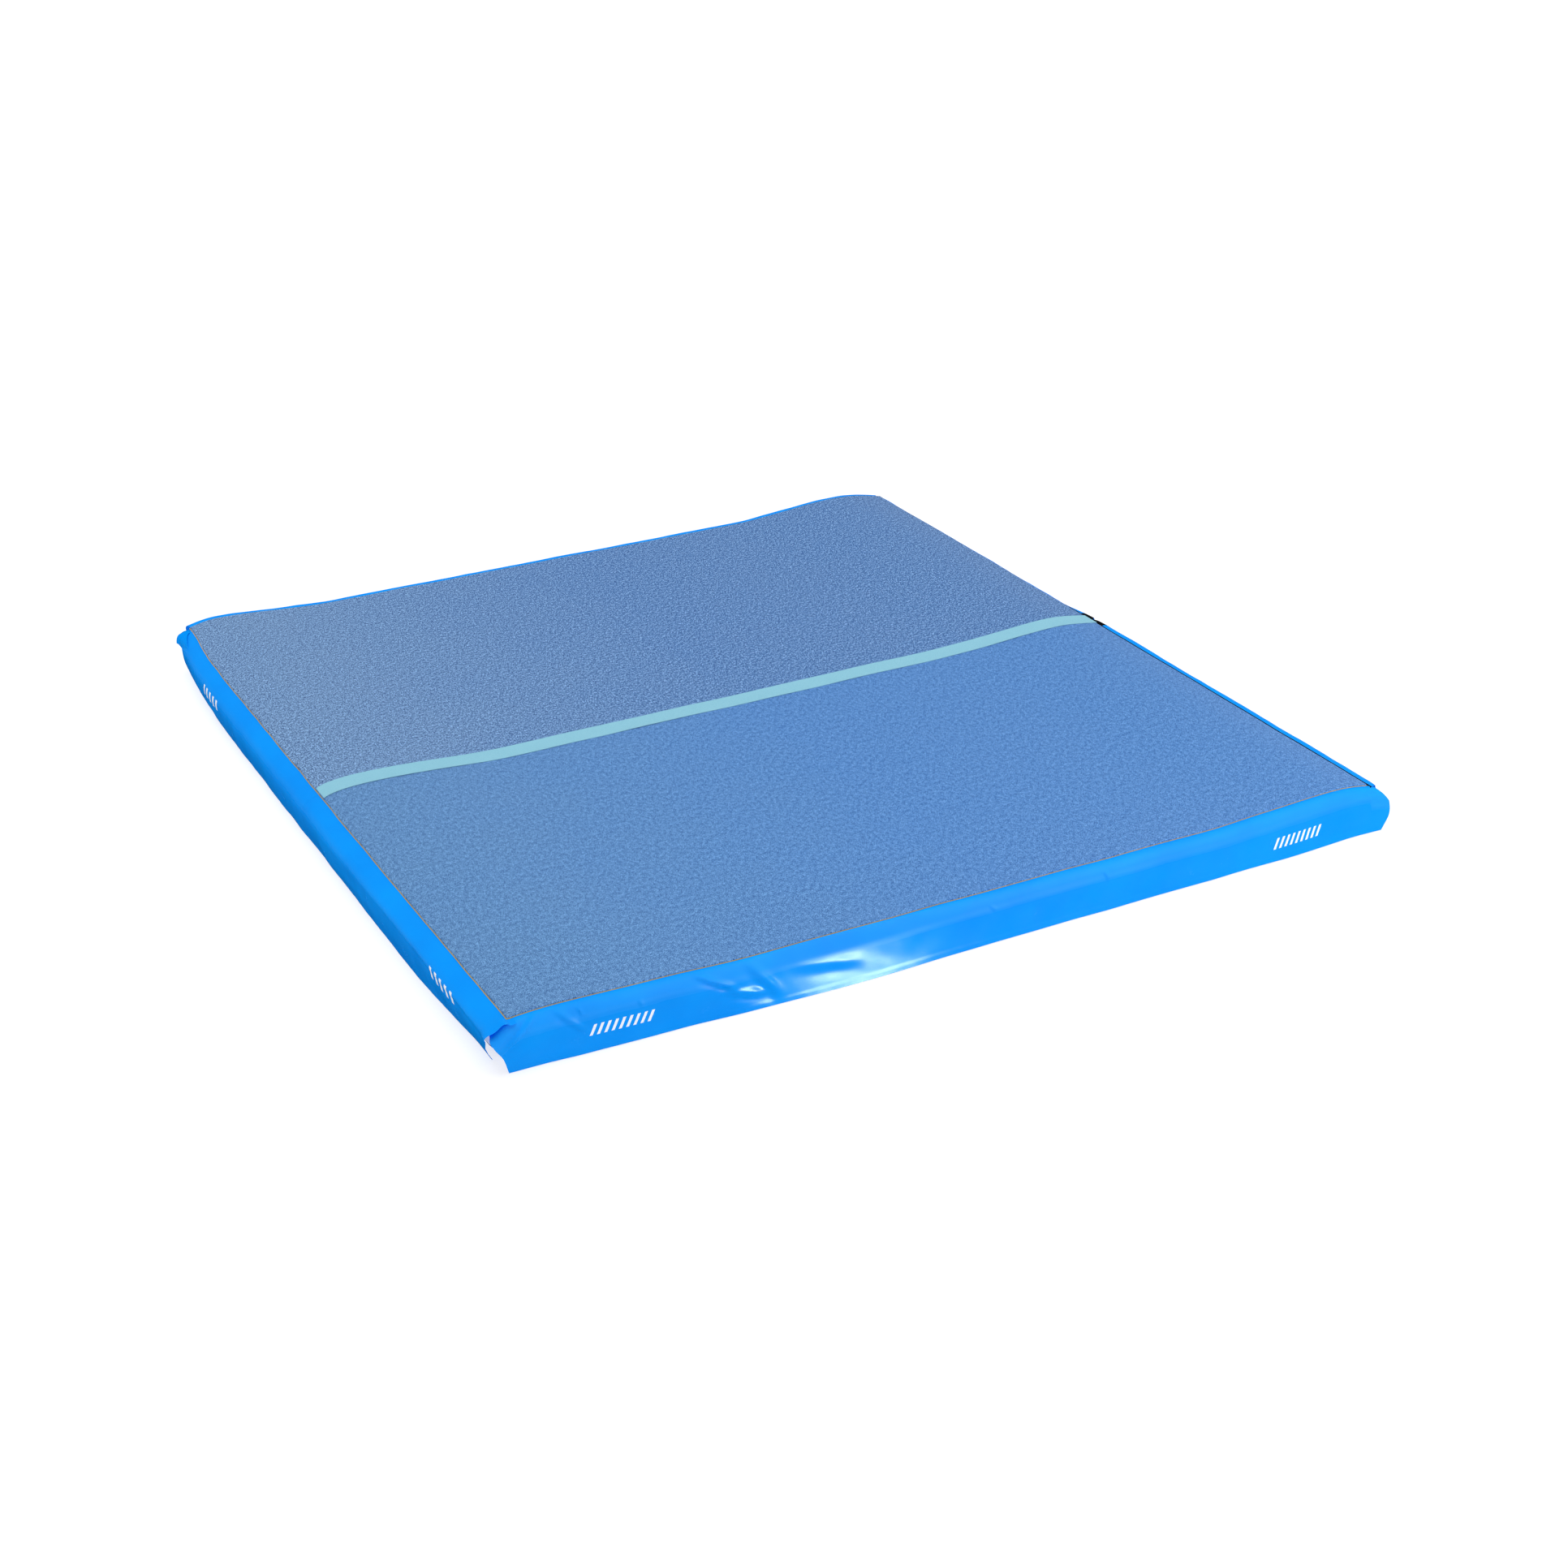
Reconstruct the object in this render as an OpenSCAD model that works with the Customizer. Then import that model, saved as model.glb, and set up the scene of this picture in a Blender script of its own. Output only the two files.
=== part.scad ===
/* [Air chamber] */
// Length of the chamber along the joint strip, over its bulged walls
chamber_len = 3950; // [3600:10:3960]
// Depth of the chamber across the joint strip, over its bulged walls
chamber_dep = 3976; // [3600:8:3980]
// Height of the inflated chamber
chamber_h = 225; // [190:5:240]
// Radius at which each side wall rolls over into the top and the base
wall_roll = 70; // [50:2:80]
// Radius of the chamber's four corners in plan
corner_r = 150; // [130:5:200]
// Thickness of the coated top and bottom skins
skin_t = 1.5; // [1:0.1:3]
// Thickness of the side walls
wall_t = 2; // [1:0.1:3]

/* [Cover] */
// Length of the carpet along the joint strip
carpet_len = 3780; // [3400:10:3800]
// Depth of both carpet halves together
carpet_dep = 3904; // [3600:8:3920]
// Gap between the two halves under the joint strip
half_gap = 2; // [1:0.5:6]
// Thickness of the coated cover sheet and its flaps
sheet_t = 1.6; // [1:0.1:3]
// Thickness of the carpet's backing
backing_t = 2.4; // [1:0.1:6]
// Thickness of the carpet's pile
pile_t = 8; // [4:0.5:14]
// Width of the joint strip
strip_w = 100; // [50:5:150]
// Thickness of the joint strip
strip_t = 3; // [1:0.5:5]

/* [Flaps] */
// Length of the whole mat over its side flaps
outer_len = 4000; // [3980:10:4060]
// Depth of the whole mat over its front and back flaps
outer_dep = 4000; // [3990:10:4060]
// Distance from the carpet's edge to a flap's fold line
fold_margin = 15; // [12:1:30]
// Clearance between a flap's hem and the floor
hem_gap = 3; // [2:1:20]
// Height of the doubled hem
hem_h = 30; // [15:5:60]
// Length of the front and back flaps
end_flap_len = 3900; // [3600:10:3920]
// Clearance between a side flap's end and the front or back flap's fold
corner_gap = 12; // [11:1:40]
// Gap between the two right flaps, in front of the air valve
valve_gap = 140; // [110:10:240]

/* [Air valve] */
// Radius of the bore that the pump's nozzle fits
inlet_r = 13; // [10:0.5:14]
// Radius of the valve's flange
flange_r = 28; // [26:0.5:29]
// How far the poppet opens
poppet_travel = 5; // [3:0.5:6]

/* [Handles] */
// Number of carry handles on each side
handles_per_side = 2; // [1:1:4]
// Length of a handle's webbing
handle_len = 220; // [160:10:300]
// Width of a handle's webbing
handle_w = 38; // [25:1:50]

/* [Hidden] */
$fn = 96;
e = 0.01;

// Half sizes of the skins, whose edges meet the rolled walls
skin_hx = chamber_len / 2 - wall_roll;
skin_hy = chamber_dep / 2 - wall_roll;
skin_corner = corner_r - wall_roll;
// Seam tapes and patches, glued on the outside of the rolls
tape_t = 0.8;
patch_t = 1;
// Drop-stitch threads: one drawn for each bundle of real ones
thread_r = 1.2;
thread_rows = 12;
thread_pitch = 300;

// Heights of the cover's layers
sheet_z = chamber_h;
backing_z = sheet_z + sheet_t;
pile_z = backing_z + backing_t;
strip_z = pile_z + pile_t;

// Fold lines: a bead on each flap turns beside the cover sheet's edge
bead_r = 1;
fold_clear = 0.5;
fold_z = chamber_h + 0.3 + bead_r;
fold_x = carpet_len / 2 + fold_margin;
fold_y = carpet_dep / 2 + 0.8 * fold_margin;
side_drop_r = outer_len / 2 - fold_x - sheet_t / 2;
end_drop_r = outer_dep / 2 - fold_y - sheet_t / 2;
side_flap_end = fold_y - corner_gap;

// Valve: x is measured outwards from the right wall's outer face
valve_x = chamber_len / 2;
valve_z = chamber_h / 2;
gasket_t = 1.5;
flange_t = 3;
barrel_r = inlet_r + 5;
barrel_depth = 22;
nut_t = 8;
nut_r = flange_r - 1;
collar_r = inlet_r + 4;
collar_end = 12;
mouth_x = 3.5;
throat_r = inlet_r - 1.5;
seat_t = 3;
seat_r = inlet_r - 4;
hub_t = 3;
hub_x = -poppet_travel - 4 - hub_t;
hub_r = 6;
disc_t = 4;
stem_r = 3;
button_r = 7;
button_t = 3;
running = 0.05;
wire_r = 0.45;
spring_r = 4.6;
spring_turns = 4;
// Cap and the hinged link that keeps it on the valve
ring_t = 2;
ring_r = collar_r + 4;
hinge_z = 33;
hinge_x = 9;
knuckle_r = 2.5;
hinge_pin_r = 1.2;
knuckle_half = 3.8;
cap_gap = 0.3;
cap_wall = 3;
cap_start = 7;
cap_seal_t = 0.8;
cap_top = 16;
knob_r = 8;
knob_head_r = 10;
link_t = 2;
link_r = 12;

// ---------- shapes that repeat ----------

// Flat plate with rounded corners, made of true arcs
module rounded_plate(hx, hy, r, t) {
    linear_extrude(t) union() {
        square([2 * (hx - r), 2 * hy], center = true);
        square([2 * hx, 2 * (hy - r)], center = true);
        for (sx = [-1, 1], sy = [-1, 1])
            translate([sx * (hx - r), sy * (hy - r)]) circle(r);
    }
}

// The chamber's section across a side, as wide as it is rolled
module stadium(r) {
    translate([0, chamber_h - wall_roll]) circle(r);
    translate([0, wall_roll]) circle(r);
    translate([-r, wall_roll]) square([2 * r, chamber_h - 2 * wall_roll]);
}

// A wall's section, outwards from the skins' edges
module wall_section() {
    intersection() {
        difference() {
            stadium(wall_roll);
            stadium(wall_roll - wall_t);
        }
        square([2 * wall_roll, chamber_h]);
    }
}

// A strip on the outside of a roll between two angles from the vertical
module roll_strip(t, from, to) {
    reach = 2 * wall_roll;
    translate([0, chamber_h - wall_roll]) intersection() {
        difference() {
            circle(wall_roll + t);
            circle(wall_roll);
        }
        polygon([[0, 0], reach * [sin(from), cos(from)], reach * [sin(to), cos(to)]]);
    }
}

// Extrudes a section (x outwards, y up) along a straight side
module along_side(length) {
    rotate([90, 0, 0]) linear_extrude(length, center = true) children();
}

// Places a section's sweep on the right, back, left or front side
module on_side(turn, half) {
    rotate([0, 0, turn]) translate([half, 0, 0]) children();
}

// Sweeps a section round all four corners
module round_corners() {
    for (sx = [0, 1], sy = [0, 1])
        mirror([sx, 0, 0]) mirror([0, sy, 0])
            translate([skin_hx - skin_corner, skin_hy - skin_corner, 0])
                rotate_extrude(angle = 90) translate([skin_corner, 0]) children();
}

// All round the chamber: four straight runs and four corners
module round_chamber() {
    for (turn = [0, 180])
        on_side(turn, skin_hx) along_side(2 * (skin_hy - skin_corner)) children();
    for (turn = [90, 270])
        on_side(turn, skin_hy) along_side(2 * (skin_hx - skin_corner)) children();
    round_corners() children();
}

module half_plate(len, dep, t, side) {
    d = (dep - half_gap) / 2;
    translate([-len / 2, side > 0 ? half_gap / 2 : -half_gap / 2 - d, 0]) cube([len, d, t]);
}

// A flap's section: bead on the fold line, rolled shoulder, straight fall and hem
module flap_section(r) {
    inner = r - sheet_t / 2;
    outer = r + sheet_t / 2;
    hem = r - 1.5 * sheet_t;
    low = hem_gap - fold_z;
    circle(bead_r);
    translate([0, -r]) intersection() {
        difference() {
            circle(outer);
            circle(inner);
        }
        square(2 * outer);
    }
    polygon([[inner, -r], [outer, -r], [outer, low], [hem, low],
             [hem, low + hem_h], [inner, low + hem_h]]);
}

module side_flap(turn, from, to) {
    rotate([0, 0, turn]) translate([fold_x, (from + to) / 2, fold_z])
        along_side(to - from) flap_section(side_drop_r);
}

module end_flap(turn) {
    rotate([0, 0, turn]) translate([fold_y, 0, fold_z])
        along_side(end_flap_len) flap_section(end_drop_r);
}

// Puts a shape drawn along +Z, from the wall's face at 0, onto the valve's axis
module on_valve() {
    translate([valve_x, 0, valve_z]) rotate([0, 90, 0]) children();
}

// A ring drawn along +Z
module ring(r_out, r_in, from, to) {
    translate([0, 0, from]) difference() {
        cylinder(to - from, r = r_out);
        translate([0, 0, -e]) cylinder(to - from + 2 * e, r = r_in);
    }
}

// Handles stand at equal steps along each side
module at_handles() {
    for (k = [0 : handles_per_side - 1]) {
        step = 3 * skin_hx / 2 / handles_per_side;
        across = (k - (handles_per_side - 1) / 2) * step;
        for (turn = [0, 180])
            on_side(turn, chamber_len / 2) translate([0, across, chamber_h / 2]) children();
        for (turn = [90, 270])
            on_side(turn, chamber_dep / 2) translate([0, across, chamber_h / 2]) children();
    }
}

// ---------- air chamber ----------

module bottom_skin() {
    color("dodgerblue") rounded_plate(skin_hx, skin_hy, skin_corner, skin_t);
}

module top_skin() {
    color("dodgerblue") translate([0, 0, chamber_h - skin_t])
        rounded_plate(skin_hx, skin_hy, skin_corner, skin_t);
}

module long_wall(turn, half, other_half) {
    on_side(turn, half) along_side(2 * (other_half - skin_corner)) wall_section();
}

module front_wall() {
    color("royalblue") long_wall(270, skin_hy, skin_hx);
}

module back_wall() {
    color("royalblue") long_wall(90, skin_hy, skin_hx);
}

module left_wall() {
    color("royalblue") long_wall(180, skin_hx, skin_hy);
}

module right_wall() {
    color("royalblue") difference() {
        long_wall(0, skin_hx, skin_hy);
        on_valve() translate([0, 0, -5 * wall_t]) cylinder(10 * wall_t, r = barrel_r + 0.2);
    }
}

module corner_walls() {
    color("royalblue") round_corners() wall_section();
}

module corner_patches() {
    color("mediumblue") round_corners()
        translate([wall_roll, wall_roll]) square([patch_t, chamber_h - 2 * wall_roll]);
}

module top_seam_tapes() {
    color("mediumblue") round_chamber() roll_strip(tape_t, 25, 55);
}

module bottom_seam_tapes() {
    color("mediumblue") translate([0, 0, chamber_h]) mirror([0, 0, 1])
        round_chamber() roll_strip(tape_t, 25, 55);
}

module drop_stitch_threads() {
    color("white") for (i = [1 : thread_rows], j = [1 : thread_rows])
        translate([(i - (thread_rows + 1) / 2) * thread_pitch,
                   (j - (thread_rows + 1) / 2) * thread_pitch, skin_t])
            cylinder(chamber_h - 2 * skin_t, r = thread_r, $fn = 16);
}

module handle_patches() {
    patch_len = handle_len + 40;
    color("mediumblue") at_handles()
        translate([0, -patch_len / 2, -handle_w / 2 - 8]) cube([patch_t, patch_len, handle_w + 16]);
}

module carry_handles() {
    web_t = 2.5;
    color("darkslategray") at_handles()
        translate([patch_t, -handle_len / 2, -handle_w / 2]) cube([web_t, handle_len, handle_w]);
}

// ---------- cover ----------

// A cover sheet ends beside the fold lines and leaves the beads free to turn
module cover_sheet(side) {
    edge = bead_r + fold_clear;
    color("deepskyblue") translate([0, 0, sheet_z])
        half_plate(2 * (fold_x - edge), 2 * (fold_y - edge), sheet_t, side);
}

module front_cover_sheet() {
    cover_sheet(-1);
}

module back_cover_sheet() {
    cover_sheet(1);
}

module backing(side) {
    color("tan") translate([0, 0, backing_z]) half_plate(carpet_len, carpet_dep, backing_t, side);
}

module front_backing() {
    backing(-1);
}

module back_backing() {
    backing(1);
}

module pile(side) {
    color("steelblue") translate([0, 0, pile_z]) half_plate(carpet_len, carpet_dep, pile_t, side);
}

module front_carpet() {
    pile(-1);
}

module back_carpet() {
    pile(1);
}

module joint_strip() {
    color("powderblue") translate([-carpet_len / 2, -strip_w / 2, strip_z])
        cube([carpet_len, strip_w, strip_t]);
}

module front_flap() {
    color("dodgerblue") end_flap(270);
}

module back_flap() {
    color("dodgerblue") end_flap(90);
}

module left_front_flap() {
    color("dodgerblue") side_flap(180, half_gap / 2, side_flap_end);
}

module left_back_flap() {
    color("dodgerblue") side_flap(180, -side_flap_end, -half_gap / 2);
}

module right_front_flap() {
    color("dodgerblue") side_flap(0, -side_flap_end, -valve_gap / 2);
}

module right_back_flap() {
    color("dodgerblue") side_flap(0, valve_gap / 2, side_flap_end);
}

// ---------- air valve ----------

module valve_gasket() {
    color("black") on_valve() ring(flange_r, barrel_r, 0, gasket_t);
}

module valve_body() {
    flange_end = gasket_t + flange_t;
    color("dimgray") on_valve() {
        difference() {
            union() {
                translate([0, 0, -barrel_depth]) cylinder(barrel_depth + flange_end, r = barrel_r);
                translate([0, 0, gasket_t]) cylinder(flange_t, r = flange_r);
                translate([0, 0, flange_end - e]) cylinder(collar_end - flange_end + e, r = collar_r);
            }
            translate([0, 0, mouth_x]) cylinder(collar_end, r = inlet_r);
            translate([0, 0, seat_t - barrel_depth]) cylinder(barrel_depth, r = throat_r);
            translate([0, 0, -barrel_depth - e]) cylinder(barrel_depth, r = seat_r);
        }
        // Three arms carry the hub that guides the poppet's stem
        translate([0, 0, hub_x]) difference() {
            union() {
                cylinder(hub_t, r = hub_r);
                for (turn = [60, 180, 300]) rotate([0, 0, turn])
                    translate([0, -1.5, 0]) cube([throat_r + 1, 3, hub_t]);
            }
            translate([0, 0, -e]) cylinder(hub_t + 2 * e, r = stem_r + running);
        }
    }
}

module valve_back_nut() {
    color("dimgray") on_valve() difference() {
        translate([0, 0, -wall_t - nut_t]) cylinder(nut_t, r = nut_r);
        translate([0, 0, -wall_t - nut_t - e]) cylinder(nut_t + 2 * e, r = barrel_r + running);
        for (k = [0 : 7]) rotate([0, 0, 45 * k])
            translate([nut_r, 0, -wall_t - nut_t - e]) cylinder(0.75 * nut_t, r = 3, $fn = 24);
    }
}

module valve_poppet() {
    color("orangered") on_valve() {
        translate([0, 0, -barrel_depth - disc_t]) cylinder(disc_t, r = throat_r + 0.5);
        translate([0, 0, -barrel_depth - e]) cylinder(barrel_depth + e, r = stem_r);
        cylinder(button_t, r = button_r);
    }
}

// One point of the spring's wire section: angle along the coil, angle round the wire
function wire_point(turn, round, rise) = [
    (spring_r + wire_r * cos(round)) * cos(turn),
    (spring_r + wire_r * cos(round)) * sin(turn),
    rise + wire_r * sin(round)
];

module valve_spring() {
    sides = 8;
    steps = 20 * spring_turns;
    low = hub_x + hub_t + wire_r + 0.05;
    high = -wire_r - 0.05;
    points = [for (i = [0 : steps], s = [0 : sides - 1])
        wire_point(360 * spring_turns * i / steps, -360 * s / sides, low + (high - low) * i / steps)];
    tube = [for (i = [0 : steps - 1], s = [0 : sides - 1])
        [i * sides + s, i * sides + (s + 1) % sides,
         (i + 1) * sides + (s + 1) % sides, (i + 1) * sides + s]];
    ends = [[for (s = [sides - 1 : -1 : 0]) s], [for (s = [0 : sides - 1]) steps * sides + s]];
    color("silver") on_valve() polyhedron(points, concat(tube, ends));
}

// Distances up the wall point along -X in the valve's own frame
module tether_ring() {
    base = gasket_t + flange_t;
    color("black") on_valve() {
        ring(ring_r, collar_r, base, base + ring_t);
        for (side = [-1, 1]) {
            from = side > 0 ? knuckle_half + 0.2 : -knuckle_half - 4.2;
            translate([-hinge_z, from, base]) cube([hinge_z - collar_r - 2, 4, ring_t]);
            translate([-hinge_z - knuckle_r, from, base]) cube([2 * knuckle_r, 4, hinge_x - base]);
            translate([-hinge_z, from, hinge_x]) rotate([-90, 0, 0]) cylinder(4, r = knuckle_r);
        }
        translate([-hinge_z, -knuckle_half - 1, hinge_x]) rotate([-90, 0, 0])
            cylinder(2 * knuckle_half + 2, r = hinge_pin_r);
    }
}

module cap_link() {
    link_x = cap_top + 0.3;
    color("black") on_valve() {
        ring(link_r, knob_r + 0.1, link_x, link_x + link_t);
        translate([-hinge_z - 1, -3, link_x])
            cube([hinge_z + 1 - knob_r - 2, 6, link_t]);
        difference() {
            union() {
                translate([-hinge_z - 1, -3, hinge_x]) cube([2, 6, link_x - hinge_x + e]);
                translate([-hinge_z, -knuckle_half, hinge_x]) rotate([-90, 0, 0])
                    cylinder(2 * knuckle_half, r = knuckle_r);
            }
            translate([-hinge_z, -knuckle_half - 1, hinge_x]) rotate([-90, 0, 0])
                cylinder(2 * knuckle_half + 2, r = hinge_pin_r + running);
        }
    }
}

module valve_cap() {
    inner = collar_r + cap_gap;
    color("dimgray") on_valve() {
        ring(inner + cap_wall, inner, cap_start, collar_end + cap_seal_t);
        translate([0, 0, collar_end + cap_seal_t])
            cylinder(cap_top - collar_end - cap_seal_t, r = inner + cap_wall);
        for (k = [0 : 11]) rotate([0, 0, 30 * k + 15])
            translate([inner + cap_wall, 0, cap_start]) cylinder(cap_top - cap_start, r = 0.8, $fn = 16);
        translate([0, 0, cap_top - e]) cylinder(link_t + 0.6 + e, r = knob_r);
        translate([0, 0, cap_top + link_t + 0.6]) cylinder(3, r = knob_head_r);
    }
}

module valve_cap_seal() {
    color("black") on_valve() ring(collar_r, inlet_r + 0.2, collar_end, collar_end + cap_seal_t);
}

bottom_skin();
top_skin();
front_wall();
back_wall();
left_wall();
right_wall();
corner_walls();
corner_patches();
top_seam_tapes();
bottom_seam_tapes();
drop_stitch_threads();
handle_patches();
carry_handles();
front_cover_sheet();
back_cover_sheet();
front_backing();
back_backing();
front_carpet();
back_carpet();
joint_strip();
front_flap();
back_flap();
left_front_flap();
left_back_flap();
right_front_flap();
right_back_flap();
valve_gasket();
valve_body();
valve_back_nut();
valve_poppet();
valve_spring();
tether_ring();
cap_link();
valve_cap();
valve_cap_seal();
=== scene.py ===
import math

import bpy
import numpy as np
from mathutils import Matrix, Vector


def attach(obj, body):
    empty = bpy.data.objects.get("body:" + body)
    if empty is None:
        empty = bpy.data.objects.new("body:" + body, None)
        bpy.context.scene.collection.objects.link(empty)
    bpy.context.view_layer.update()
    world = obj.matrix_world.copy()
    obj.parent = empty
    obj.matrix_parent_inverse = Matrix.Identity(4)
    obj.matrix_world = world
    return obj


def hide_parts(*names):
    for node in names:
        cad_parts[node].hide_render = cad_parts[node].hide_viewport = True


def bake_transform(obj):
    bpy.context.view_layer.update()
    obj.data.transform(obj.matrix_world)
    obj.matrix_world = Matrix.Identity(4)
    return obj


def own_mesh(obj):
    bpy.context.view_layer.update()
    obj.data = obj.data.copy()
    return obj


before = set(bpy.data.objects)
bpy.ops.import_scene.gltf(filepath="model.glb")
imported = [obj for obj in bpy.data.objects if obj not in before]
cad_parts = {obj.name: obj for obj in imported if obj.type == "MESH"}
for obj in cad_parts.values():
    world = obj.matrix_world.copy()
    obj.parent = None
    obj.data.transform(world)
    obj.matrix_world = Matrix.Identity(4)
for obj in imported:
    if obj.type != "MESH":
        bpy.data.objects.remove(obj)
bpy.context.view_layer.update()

TAU = 2 * math.pi

# ---------------------------------------------------------------- plain maths


def smooth(a, b, x):
    """0 before a, 1 after b, and a smooth step between them."""
    t = np.clip((np.asarray(x, float) - a) / (b - a), 0, 1)
    return t * t * (3 - 2 * t)


def three(y, front, mid, back, reach=1.952):
    """A value that runs smoothly through three values, along the mat's depth."""
    t = np.clip(np.asarray(y, float) / reach, -1.05, 1.05)
    return mid + (back - front) / 2 * t + ((front + back) / 2 - mid) * t * t


def curve(x, knots, values):
    """A smooth line through a few knots."""
    k, v = np.array(knots, float), np.array(values, float)
    slope = np.gradient(v, k)
    x = np.clip(np.asarray(x, float), k[0], k[-1])
    i = np.clip(np.searchsorted(k, x, side="right") - 1, 0, len(k) - 2)
    w = k[i + 1] - k[i]
    t = (x - k[i]) / w
    return ((2 * t**3 - 3 * t**2 + 1) * v[i] + (t**3 - 2 * t**2 + t) * w * slope[i]
            + (3 * t**2 - 2 * t**3) * v[i + 1] + (t**3 - t**2) * w * slope[i + 1])


def ripple(a, b, seed, size, count=14):
    """A soft uneven field of about unit height, its waves near the given size in metres."""
    rng = np.random.default_rng(seed)
    total = 0
    for _ in range(count):
        turn, length, phase = rng.uniform(0, math.pi), size * rng.uniform(0.6, 1.8), rng.uniform(0, TAU)
        total = total + np.sin(TAU * (a * math.cos(turn) + b * math.sin(turn)) / length + phase)
    return total / math.sqrt(count)


def fold(a, b, start, end, width, height, lean=0.0):
    """A rounded fold along a line from start to end. lean puts a shallow valley beside its crest."""
    (x0, y0), (x1, y1) = start, end
    dx, dy = x1 - x0, y1 - y0
    length = math.hypot(dx, dy)
    along = ((a - x0) * dx + (b - y0) * dy) / length
    off = ((b - y0) * dx - (a - x0) * dy) / length
    ends = smooth(-0.25 * length, 0.3 * length, along) * (1 - smooth(0.7 * length, 1.2 * length, along))
    shape = np.exp(-((off / width) ** 2)) - lean * np.exp(-(((off + 1.6 * width) / (1.3 * width)) ** 2))
    return height * ends * shape


# ---------------------------------------------------------------- the deck's shape

CARPET_X, CARPET_Y = 1.890, 1.952
PILE, BACKING, SHEET, STRIP = 0.0068, 0.0024, 0.0016, 0.003


def hump(u, edge, crest, peak, reach, power=1.0):
    """The raised rim at a left or right end: u is the distance in from the carpet's edge."""
    rise = edge + (crest - edge) * np.sin(math.pi / 2 * np.clip(u / peak, 0, 1) ** power)
    fall = crest * (0.5 + 0.5 * np.cos(math.pi * np.clip((u - peak) / (reach - peak), 0, 1)))
    return np.where(u < peak, rise, fall)


def deck(x, y):
    """Height of the top of the pile."""
    x, y = np.asarray(x, float), np.asarray(y, float)
    middle = three(y, 0.2125, 0.2160, 0.2125) + np.clip(x, -1.2, 1.2) * three(y, -0.0015, 0.0030, 0.0028)
    left = hump(x + CARPET_X, three(y, 0.0180, 0.0020, 0.0000), three(y, 0.0250, 0.0300, 0.0290),
                three(y, 0.18, 0.21, 0.16), three(y, 1.00, 0.82, 0.72), three(y, 1.0, 0.62, 1.05))
    right = hump(CARPET_X - x, three(y, 0.0050, 0.0040, 0.0040), three(y, 0.0225, 0.0265, 0.0405),
                 three(y, 0.17, 0.22, 0.27), three(y, 0.85, 0.90, 0.92))
    return middle + left + right + 0.0009 * ripple(x, y, 3, 0.55)


def edge_left(y):
    return (-CARPET_X - 0.003 * (1 - (y / CARPET_Y) ** 2) + 0.024 * smooth(1.45, 1.96, y)
            + 0.0008 * ripple(y, 0 * y, 11, 0.25))


def edge_right(y):
    return CARPET_X + 0.0008 * ripple(y, 0 * y, 12, 0.25)


def edge_front(x):
    return -CARPET_Y + 0.0010 * ripple(x, 0 * x, 13, 0.30)


def edge_back(x):
    return CARPET_Y + 0.0010 * ripple(x, 0 * x, 14, 0.30)


# ---------------------------------------------------------------- meshes


def make_mesh(name, verts, faces, uvs, material, sharp=38):
    """A mesh with its outside facing out, cloth UVs in metres, and smooth faces."""
    v = np.array(verts, float)
    tri = np.array([f[:3] for f in faces] + [(f[0], f[2], f[3]) for f in faces if len(f) == 4])
    volume = np.einsum("ij,ij->i", v[tri[:, 0]], np.cross(v[tri[:, 1]], v[tri[:, 2]])).sum()
    if volume < 0:
        faces = [tuple(reversed(f)) for f in faces]
    me = bpy.data.meshes.new(name)
    me.from_pydata(v.tolist(), [], [tuple(map(int, f)) for f in faces])
    layer = me.uv_layers.new(name="cloth")
    index = np.empty(len(me.loops), np.int32)
    me.loops.foreach_get("vertex_index", index)
    layer.data.foreach_set("uv", np.array(uvs, np.float32)[index].ravel())
    me.polygons.foreach_set("use_smooth", [True] * len(me.polygons))
    me.set_sharp_from_angle(angle=math.radians(sharp))
    me.materials.append(material)
    me.update()
    obj = bpy.data.objects.new(name, me)
    bpy.context.scene.collection.objects.link(obj)
    return obj


def grid_faces(n, m, wrap, base=0):
    """The quads of an n by m grid of points from index base on. wrap joins its last row to its first."""
    i, j = np.meshgrid(np.arange(n if wrap else n - 1), np.arange(m - 1), indexing="ij")
    k = (i + 1) % n
    corners = [i * m + j, k * m + j, k * m + j + 1, i * m + j + 1]
    return base + np.stack(corners, -1).reshape(-1, 4)


def normals(points, wrap):
    """The unit normals of a grid of points."""
    if wrap:
        du = np.roll(points, -1, 0) - np.roll(points, 1, 0)
    else:
        du = np.gradient(points, axis=0)
    n = np.cross(du, np.gradient(points, axis=1))
    return n / np.maximum(np.linalg.norm(n, axis=2, keepdims=True), 1e-12)


def cloth(name, points, thick, uv, material, outward, wrap=False, lower=None):
    """A closed sheet of even thickness: points is its outer face, a grid, and outward points away from it.
    lower, where given, is the inner face's own grid."""
    n, m = points.shape[:2]
    if lower is None:
        way = normals(points, wrap)
        if (way * outward).sum() < 0:
            way = -way
        lower = points - way * thick
    verts = np.concatenate([points.reshape(-1, 3), lower.reshape(-1, 3)])
    top, low = grid_faces(n, m, wrap), grid_faces(n, m, wrap, n * m)[:, ::-1]
    rims = []
    for j, turn in ((0, 1), (m - 1, -1)):
        a = np.arange(n) * m + j
        b = np.roll(a, -1) if wrap else a[1:]
        a = a if wrap else a[:-1]
        rims.append(np.stack([a, a + n * m, b + n * m, b], -1)[:, ::turn])
    if not wrap:
        for i, turn in ((0, -1), (n - 1, 1)):
            a = i * m + np.arange(m - 1)
            rims.append(np.stack([a, a + n * m, a + 1 + n * m, a + 1], -1)[:, ::turn])
    faces = np.concatenate([top, low] + rims)
    return make_mesh(name, verts, faces.tolist(), np.concatenate([uv.reshape(-1, 2)] * 2), material)


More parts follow.
